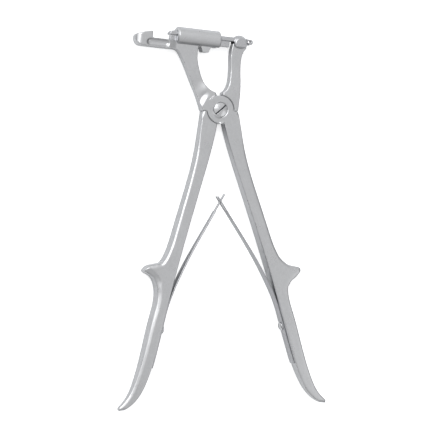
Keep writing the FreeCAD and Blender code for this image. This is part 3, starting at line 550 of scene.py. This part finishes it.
def round_handle(piece, side, tip):
    """Sinks the points near the outer wall; tip is the spur's tip, which the stations follow."""
    mesh = piece.data
    wall = outer_wall(mesh, side)
    above = flat_tree([point for point in wall if point.y >= tip.y])
    below = flat_tree([point for point in wall if point.y < tip.y])
    height = front_heights(mesh)
    shift = tip.y - TIP_Y * MM
    moved = 0
    for vertex in mesh.vertices:
        co = vertex.co
        if co.y > ROUND_STARTS * MM or co.z < MID_Z:
            continue
        flat = (co.x, co.y, 0.0)
        over, under = above.find(flat)[2], below.find(flat)[2]
        if min(over, under) > ROUND_REACHES:
            continue
        y = co.y - shift
        radius = at_station(UPPER_ROUND, y)
        sink = quarter(over, radius, radius)
        reach = at_station(GRIP_REACH[side], y)
        grip = quarter(under, reach, at_station(GRIP_DEPTH[side], y))
        grip += at_station(GRIP_STEP[side], y) * eased_step((reach - under) / at_station(STEP_WIDE, y))
        top = height(co.y)
        now = top - max(0.0, SOLID_BEVEL - min(over, under))
        aim = top - min(DEEPEST_SHARE * (top - MID_Z), max(sink, grip))
        aim = now + (aim - now) * rise(co.y, ROUND_STARTS, ROUND_IS_FULL)
        co.z = MID_Z + (co.z - MID_Z) * (aim - MID_Z) / (now - MID_Z)
        moved += 1
    print(piece.name, moved, "points of the outer round moved")


# %% [markdown]
# ## Spurs and the joint's fall
# The left thumb spur runs out to a point and has a full upper flank. The right one hangs lower
# and is blunter. The left leg falls away from the round boss of the joint in a slope that catches
# the window. Sculpting by hand would not repeat, so all three are written as smooth moves of the
# even skin's points. The spurs' sizes are in millimetres, apart from the share of the pinch.

# %% Spurs and fall
SPUR_POINT = 5.0
SPUR_LONG = 20.0 * MM
SPUR_HALF = 18.0 * MM
SPUR_SHAPES = {-1: {"full": 2.3, "lift": 1.3, "pinch": 0.55, "belly": 0.0, "longer": 0.0},
               1: {"full": 1.1, "lift": -1.0, "pinch": 0.95, "belly": 3.3, "longer": 1.0}}
BOSS_R = 16.2 * MM
BOSS_FACE_R = 11.0 * MM
FALL_WIDE = 4.0 * MM
FALL_DEEP = 1.5 * MM
FALL_TURN = (30.0, 60.0)
FALL_FADES = (34.2, 21.2)


def shape_spur(piece, side, tip):
    """Fills the upper flank, lets the lower one hang, and points or blunts the tip."""
    sizes = SPUR_SHAPES[side]
    for vertex in piece.data.vertices:
        co = vertex.co
        out = (tip.x - co.x) * side
        across = co.y - tip.y
        if not -2 * MM < out < SPUR_LONG or abs(across) > SPUR_HALF:
            continue
        near = rise(abs(across), 10, 6)
        root = rise(out, 19, 11)
        upper = rise(out, 0, 7) * root * rise(across, -4, 4) * rise(across, 14, 9)
        lower = rise(out, -1, 3) * root * rise(across, 1, -3) * rise(across, -17, -8)
        whole = rise(out, 17, 7) * rise(abs(across), 16, 7)
        pinch = 1 - (1 - sizes["pinch"]) * (1 - rise(out, 0, SPUR_POINT)) * near
        move = sizes["full"] * upper + sizes["lift"] * whole - sizes["belly"] * lower
        co.y = tip.y + across * pinch + move * MM
        co.x += side * sizes["longer"] * MM * rise(out, 8, 0) * near


def fall_from_boss(piece):
    """The left leg's front sinks as it leaves the boss."""
    mesh = piece.data
    front = [v.co.copy() for v in mesh.vertices if v.normal.z > 0.8 and v.co.z > MID_Z and v.co.y > 0]
    tree = flat_tree(front)
    top = max(point.z for point in front if point.xy.length < BOSS_FACE_R)
    for vertex in mesh.vertices:
        co = vertex.co
        reach = co.xy.length
        if co.z < MID_Z:
            continue
        share = rise(reach, *FALL_FADES) * rise(co.y, 3, 6) * rise(co.x, -2, -5)
        if share == 0:
            continue
        now = front[tree.find((co.x, co.y, 0.0))[1]].z
        turn = math.degrees(math.atan2(-co.x, co.y))
        deep = FALL_DEEP * eased_step((turn - FALL_TURN[0]) / (FALL_TURN[1] - FALL_TURN[0]))
        aim = top - deep * min(1.0, max(0.0, reach - BOSS_R) / FALL_WIDE)
        co.z = MID_Z + (co.z - MID_Z) * (1 + ((aim - MID_Z) / (now - MID_Z) - 1) * share)


# %% Levers
LEVER_VOXEL = 0.48
RIM_PASSES = 4
HANDLE_PASSES = 3
SPUR_TIPS = {1: Vector((72.6, -140.7, 0.0)) * MM, -1: Vector((-70.6, -141.7, 0.0)) * MM}


def finish_lever(source, side, steel, body):
    """Makes one lever; side is 1 where its handle is the right one and -1 where it is the left."""
    piece = even_skin(merged_copy(source), LEVER_VOXEL)
    round_handle(piece, side, SPUR_TIPS[side])
    shape_spur(piece, side, SPUR_TIPS[side])
    if source == "fixed_jaw_lever":
        fall_from_boss(piece)
    eased(piece, RIM_PASSES)
    handle = piece.vertex_groups.new(name="handle")
    for vertex in piece.data.vertices:
        share = rise(vertex.co.y, -6, -36)
        if share > 0:
            handle.add([vertex.index], share, "REPLACE")
    eased(piece, HANDLE_PASSES, group="handle")
    piece.vertex_groups.clear()
    mark_wear_and_crease_shade(piece)
    piece.data.materials.append(steel)
    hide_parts(source)
    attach(piece, body)


finish_lever("fixed_jaw_lever", 1, hook_side_steel, "fixed_jaw")
finish_lever("driver_lever", -1, ball_side_steel, "driver")

# %% [markdown]
# ## Sleeve and cutter slide
# The sleeve is turned and milled, the slide milled and hardened, so their rims are crisper than
# the forgings'. The same even skin serves, with smaller voxels and fewer passes.

# %% Sleeve and slide
for source, voxel, passes, body, slot_name, steel in (
        ("guide_sleeve", 0.25, 5, "fixed_jaw", "sleeve_steel", sleeve_steel),
        ("cutter_slide", 0.22, 4, "cutter", "cutter_steel", cutter_steel)):
    piece = eased(even_skin(merged_copy(source), voxel), passes)
    mark_wear_and_crease_shade(piece)
    piece.data.materials.append(steel)
    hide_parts(source)
    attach(piece, body)

# %% [markdown]
# ## Slotted screws
# All four screws are turned pins with a domed head and a sawn slot, in three sizes. One Geometry
# Nodes tree makes them all from named sizes: a head whose rings of points are lifted into a dome,
# a saw cut taken out of it, and a shank. A modifier per screw holds its sizes, and the result is
# made a plain mesh. Its even skin, from small voxels, welds head and shank into one. The faces
# down in the cut get a much darker steel, which is painted shade in the slot.

# %% Screw tree
def sized_tree(name, sizes):
    """Empty Geometry Nodes tree with one float input per size, a material input and a mesh output."""
    tree = bpy.data.node_groups.new(name, "GeometryNodeTree")
    tree.interface.new_socket("Mesh", in_out="OUTPUT", socket_type="NodeSocketGeometry")
    for size in sizes:
        tree.interface.new_socket(size, in_out="INPUT", socket_type="NodeSocketFloat")
    tree.interface.new_socket("Steel", in_out="INPUT", socket_type="NodeSocketMaterial")
    return tree


def screw_tree():
    """Head with its seat at the origin and its dome along +Z, saw cut and shank."""
    tree = sized_tree("slotted_screw", ("Head Radius", "Rim Height", "Dome Rise", "Shank Radius",
                                        "Shank Length", "Slot Width", "Slot Depth", "Slot Turn"))
    sizes = node(tree, "NodeGroupInput").outputs
    head = node(tree, "GeometryNodeMeshCylinder", {"Vertices": 72, "Side Segments": 3, "Fill Segments": 14,
                                                   "Radius": sizes["Head Radius"],
                                                   "Depth": sizes["Rim Height"]},
                fill_type="TRIANGLE_FAN")
    place = node(tree, "GeometryNodeInputPosition").outputs[0]
    parts = node(tree, "ShaderNodeSeparateXYZ", {0: place})
    flat = node(tree, "ShaderNodeCombineXYZ", {0: parts.outputs[0], 1: parts.outputs[1]})
    reach = node(tree, "ShaderNodeVectorMath", {0: flat.outputs[0]}, operation="LENGTH")
    share = node(tree, "ShaderNodeMath", {0: reach.outputs["Value"], 1: sizes["Head Radius"]},
                 operation="DIVIDE")
    square = node(tree, "ShaderNodeMath", {0: share.outputs[0], 1: share.outputs[0]}, operation="MULTIPLY")
    crown = node(tree, "ShaderNodeMath", {0: 1.0, 1: square.outputs[0]}, operation="SUBTRACT")
    rise = node(tree, "ShaderNodeMath", {0: crown.outputs[0], 1: sizes["Dome Rise"]}, operation="MULTIPLY")
    lift = node(tree, "ShaderNodeCombineXYZ", {2: rise.outputs[0]})
    upper = node(tree, "ShaderNodeMath", {0: parts.outputs[2], 1: 0.0}, operation="GREATER_THAN")
    domed = node(tree, "GeometryNodeSetPosition", {"Geometry": head.outputs["Mesh"],
                                                   "Selection": upper.outputs[0], "Offset": lift.outputs[0]})
    half = node(tree, "ShaderNodeMath", {0: sizes["Rim Height"], 1: 0.5}, operation="MULTIPLY")
    up = node(tree, "ShaderNodeCombineXYZ", {2: half.outputs[0]})
    seated = node(tree, "GeometryNodeTransform", {"Geometry": domed.outputs[0],
                                                  "Translation": up.outputs[0]})
    crest = node(tree, "ShaderNodeMath", {0: sizes["Rim Height"], 1: sizes["Dome Rise"]}, operation="ADD")
    twice = node(tree, "ShaderNodeMath", {0: sizes["Slot Depth"], 1: 2.0}, operation="MULTIPLY")
    across = node(tree, "ShaderNodeMath", {0: sizes["Head Radius"], 1: 3.0}, operation="MULTIPLY")
    blade_size = node(tree, "ShaderNodeCombineXYZ", {0: across.outputs[0], 1: sizes["Slot Width"],
                                                     2: twice.outputs[0]})
    blade = node(tree, "GeometryNodeMeshCube", {"Size": blade_size.outputs[0]})
    blade_at = node(tree, "ShaderNodeCombineXYZ", {2: crest.outputs[0]})
    blade_turn = node(tree, "ShaderNodeCombineXYZ", {2: sizes["Slot Turn"]})
    saw = node(tree, "GeometryNodeTransform", {"Geometry": blade.outputs["Mesh"],
                                               "Translation": blade_at.outputs[0],
                                               "Rotation": blade_turn.outputs[0]})
    cut = node(tree, "GeometryNodeMeshBoolean", {"Mesh 1": seated.outputs[0], "Mesh 2": saw.outputs[0]},
               operation="DIFFERENCE", solver="EXACT")
    shank = node(tree, "GeometryNodeMeshCylinder", {"Vertices": 48, "Radius": sizes["Shank Radius"],
                                                    "Depth": sizes["Shank Length"]}, fill_type="NGON")
    below = node(tree, "ShaderNodeMath", {0: sizes["Shank Length"], 1: -0.5}, operation="MULTIPLY")
    overlap = node(tree, "ShaderNodeMath", {0: below.outputs[0], 1: half.outputs[0]}, operation="ADD")
    down = node(tree, "ShaderNodeCombineXYZ", {2: overlap.outputs[0]})
    pin = node(tree, "GeometryNodeTransform", {"Geometry": shank.outputs["Mesh"],
                                               "Translation": down.outputs[0]})
    join = node(tree, "GeometryNodeJoinGeometry")
    tree.links.new(cut.outputs[0], join.inputs[0])
    tree.links.new(pin.outputs[0], join.inputs[0])
    real = node(tree, "GeometryNodeRealizeInstances", {0: join.outputs[0]})
    steel = node(tree, "GeometryNodeSetMaterial", {"Geometry": real.outputs[0], "Material": sizes["Steel"]})
    out = node(tree, "NodeGroupOutput")
    tree.links.new(steel.outputs[0], out.inputs[0])
    return tree


def grown(name, tree, sizes, steel):
    """Runs a Geometry Nodes tree with the given sizes and returns the result as a plain object."""
    piece = bpy.data.objects.new(name, bpy.data.meshes.new(name))
    scene.collection.objects.link(piece)
    modifier = piece.modifiers.new(tree.name, "NODES")
    modifier.node_group = tree
    for item in tree.interface.items_tree:
        if item.in_out == "INPUT":
            modifier[item.identifier] = steel if item.name == "Steel" else sizes[item.name]
    return plain_mesh(piece)


SCREWS = screw_tree()
print("the screw tree has", len(SCREWS.nodes), "nodes")

# %% Saw cuts
SLOT_HALF = 0.62
SLOT_FROM = 0.2 * MM
SLOT_BELOW = 0.3 * MM
HEAD_FOOT = 0.1 * MM


def paint_slot(piece, to_screw, sizes):
    """Gives the faces down in the saw cut the second, dark steel as painted shade; to_screw leads to the
    screw's own axes.
    """
    across = Vector((-math.sin(sizes["Slot Turn"]), math.cos(sizes["Slot Turn"]), 0.0))
    half = SLOT_HALF * sizes["Slot Width"]
    deepest = sizes["Slot Depth"] + SLOT_BELOW
    shaded_faces = 0
    for face in piece.data.polygons:
        place = to_screw @ face.center
        share = place.xy.length / sizes["Head Radius"]
        depth = sizes["Rim Height"] + sizes["Dome Rise"] * (1 - share * share) - place.z
        if abs(place.dot(across)) < half and SLOT_FROM < depth < deepest and place.z > HEAD_FOOT:
            # Painted shade: this face takes the dark slot steel.
            face.material_index = 1
            shaded_faces += 1
    print(piece.name, shaded_faces, "faces lie in the slot")


# %% Screws
SIZE_NAMES = ("Head Radius", "Rim Height", "Dome Rise", "Shank Radius", "Shank Length", "Slot Width",
              "Slot Depth")
SPRING_SCREW_SIZES = (3.9, 0.91, 1.69, 2.0, 7.2, 1.1, 1.0)
SCREW_PLACES = (
    ("pivot_screw", "driver", (0, 0, 7.9), (0, 0, 1), 40.0, (6.2, 2.6, 0.9, 4.0, 8.6, 1.25, 1.7), 0.14),
    ("fork_spring_screw", "fixed_jaw", (58.72, -190.53, 5.25), (-0.961, -0.276, 0), 0.0,
     SPRING_SCREW_SIZES, 0.13),
    ("tongue_spring_screw", "driver", (-53.38, -192.10, 5.25), (0.968, -0.2496, 0), 0.0,
     SPRING_SCREW_SIZES, 0.13),
    ("guide_screw", "fixed_jaw", (-13.72, 51.63, 5.25), (-0.0866, -0.9962, 0), 0.0,
     (2.3, 1.5, 0.4, 1.5, 5.1, 0.9, 0.9), 0.10))


def finish_screw(source, body, seat, out_way, slot_turn, sizes, voxel):
    """Makes one screw; its head's foot is at the seat and its head looks along out_way."""
    inputs = {name: size * MM for name, size in zip(SIZE_NAMES, sizes)}
    inputs["Slot Turn"] = math.radians(slot_turn)
    piece = grown(source + "_finished", SCREWS, inputs, screw_steel)
    turn = Vector(out_way).to_track_quat("Z", "Y").to_matrix().to_4x4()
    to_frame = Matrix.Translation(Vector(seat) * MM) @ turn
    piece.data.transform(to_frame)
    eased(even_skin(piece, voxel), 3)
    mark_wear_and_crease_shade(piece)
    piece.data.materials.clear()
    piece.data.materials.append(screw_steel)
    piece.data.materials.append(slot_shade_steel)
    paint_slot(piece, to_frame.inverted(), inputs)
    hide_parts(source)
    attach(piece, body)


for screw in SCREW_PLACES:
    finish_screw(*screw)

# %% [markdown]
# ## Leaf springs
# Each spring is a strip of rolled spring steel that lies on its handle, leaves it in a long curve
# and gets less deep towards its tip. The right one ends in a fork and the left one in a tongue
# that passes through the fork. The strip follows a path, so Geometry Nodes sweep a small square
# along the spring's middle line and stretch it to the strip's depth. The middle line is taken
# from the frame's own solid, slice by slice, so that the finish sits exactly on it.

# %% Leaf tree
LINE_POINTS = 120
PROFILE = 1.0 * MM
TAPER_FROM = 0.45
TAPER_TO = 0.97


def leaf_tree():
    """Strip along a line, with two prongs at its end that lie on each other where the offset is 0."""
    tree = sized_tree("leaf_spring", ("Thickness", "Root Depth", "Tip Depth", "Prong Depth", "Prong Offset",
                                      "Body End", "Prong Start"))
    tree.interface.new_socket("Line", in_out="INPUT", socket_type="NodeSocketObject")
    sizes = node(tree, "NodeGroupInput").outputs
    line = node(tree, "GeometryNodeObjectInfo", {"Object": sizes["Line"]})
    smooth_line = node(tree, "GeometryNodeResampleCurve", {"Curve": line.outputs["Geometry"],
                                                           "Count": LINE_POINTS})
    join = node(tree, "GeometryNodeJoinGeometry")

    def strip(start, stop, root_depth, tip_depth, offset):
        cut = node(tree, "GeometryNodeTrimCurve", {"Curve": smooth_line.outputs[0], 2: start, 3: stop})
        share = node(tree, "GeometryNodeSplineParameter").outputs["Factor"]
        place = node(tree, "GeometryNodeInputPosition").outputs[0]
        kept = node(tree, "GeometryNodeCaptureAttribute", {0: cut.outputs[0]})
        kept.capture_items.new("VECTOR", "Place")
        kept.capture_items.new("FLOAT", "Share")
        tree.links.new(place, kept.inputs["Place"])
        tree.links.new(share, kept.inputs["Share"])
        square = node(tree, "GeometryNodeCurvePrimitiveQuadrilateral", {"Width": PROFILE, "Height": PROFILE})
        swept = node(tree, "GeometryNodeCurveToMesh", {"Curve": kept.outputs[0], "Fill Caps": True,
                                                       "Profile Curve": square.outputs[0]})
        away = node(tree, "ShaderNodeVectorMath", {0: node(tree, "GeometryNodeInputPosition").outputs[0],
                                                   1: kept.outputs["Place"]}, operation="SUBTRACT")
        depth = node(tree, "ShaderNodeMapRange", {"Value": kept.outputs["Share"], "From Min": TAPER_FROM,
                                                  "From Max": TAPER_TO, "To Min": root_depth,
                                                  "To Max": tip_depth}, interpolation_type="SMOOTHSTEP")
        stretch = node(tree, "ShaderNodeCombineXYZ", {0: sizes["Thickness"], 1: sizes["Thickness"],
                                                      2: depth.outputs["Result"]})
        per_unit = node(tree, "ShaderNodeVectorMath", {0: stretch.outputs[0], "Scale": 1 / PROFILE},
                        operation="SCALE")
        wide = node(tree, "ShaderNodeVectorMath", {0: away.outputs[0], 1: per_unit.outputs[0]},
                    operation="MULTIPLY")
        placed = node(tree, "ShaderNodeVectorMath", {0: wide.outputs[0], 1: kept.outputs["Place"]},
                      operation="ADD")
        up = node(tree, "ShaderNodeCombineXYZ", {2: offset})
        lifted = node(tree, "ShaderNodeVectorMath", {0: placed.outputs[0], 1: up.outputs[0]},
                      operation="ADD")
        made = node(tree, "GeometryNodeSetPosition", {"Geometry": swept.outputs[0],
                                                      "Position": lifted.outputs[0]})
        tree.links.new(made.outputs[0], join.inputs[0])

    strip(0.0, sizes["Body End"], sizes["Root Depth"], sizes["Tip Depth"], 0.0)
    strip(sizes["Prong Start"], 1.0, sizes["Prong Depth"], sizes["Prong Depth"], sizes["Prong Offset"])
    below = node(tree, "ShaderNodeMath", {0: sizes["Prong Offset"], 1: -1.0}, operation="MULTIPLY")
    strip(sizes["Prong Start"], 1.0, sizes["Prong Depth"], sizes["Prong Depth"], below.outputs[0])
    real = node(tree, "GeometryNodeRealizeInstances", {0: join.outputs[0]})
    steel = node(tree, "GeometryNodeSetMaterial", {"Geometry": real.outputs[0], "Material": sizes["Steel"]})
    out = node(tree, "NodeGroupOutput")
    tree.links.new(steel.outputs[0], out.inputs[0])
    return tree


LEAVES = leaf_tree()
print("the leaf tree has", len(LEAVES.nodes), "nodes")

# %% Springs
ROOT_IN = 1.0 * MM
TIP_BACK = 0.7 * MM
SLICES = 34


def middle_line(source):
    """Middle of a frame node in slices of y, as a curve."""
    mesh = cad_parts[source].data
    low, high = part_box(source)
    points = []
    for i in range(SLICES + 1):
        y = low.y + ROOT_IN + (high.y - low.y - ROOT_IN - TIP_BACK) * i / SLICES
        found = []
        for edge in mesh.edges:
            a, b = (mesh.vertices[v].co for v in edge.vertices)
            if (a.y - y) * (b.y - y) < 0:
                found.append(a.x + (b.x - a.x) * (y - a.y) / (b.y - a.y))
        points.append(Vector(((min(found) + max(found)) / 2, y, MID_Z)))
    points[0] += (points[0] - points[1]).normalized() * ROOT_IN
    data = bpy.data.curves.new(source + "_line", "CURVE")
    data.dimensions = "3D"
    data.resolution_u = 6
    spline = data.splines.new("NURBS")
    spline.points.add(len(points) - 1)
    for knot, point in zip(spline.points, points):
        knot.co = (*point, 1.0)
    spline.order_u = 4
    spline.use_endpoint_u = True
    line = bpy.data.objects.new(data.name, data)
    scene.collection.objects.link(line)
    return line


def finish_spring(source, root, sizes):
    """Makes one spring, which curves along its handle to beyond the crossing; root is not used."""
    line = middle_line(source)
    inputs = {name: size * MM for name, size in sizes.items()}
    inputs.update({"Line": line, "Body End": sizes["Body End"], "Prong Start": sizes["Prong Start"]})
    piece = grown(source + "_finished", LEAVES, inputs, spring_steel)
    bpy.data.objects.remove(line)
    eased(even_skin(piece, 0.24), 3)
    mark_wear_and_crease_shade(piece)
    piece.data.materials.clear()
    piece.data.materials.append(spring_steel)
    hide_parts(source)
    root = Vector(root) * MM
    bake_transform(piece)


finish_spring("fork_spring", (54.96, -175.3, 5.25),
              {"Thickness": 1.25, "Root Depth": 9.2, "Tip Depth": 6.2, "Prong Depth": 1.1,
               "Prong Offset": 2.45, "Body End": 0.905, "Prong Start": 0.88})
finish_spring("tongue_spring", (-50.04, -176.7, 5.25),
              {"Thickness": 1.25, "Root Depth": 9.2, "Tip Depth": 6.2, "Prong Depth": 3.0,
               "Prong Offset": 0.0, "Body End": 0.895, "Prong Start": 0.87})

# %% Finish
bpy.context.view_layer.update()
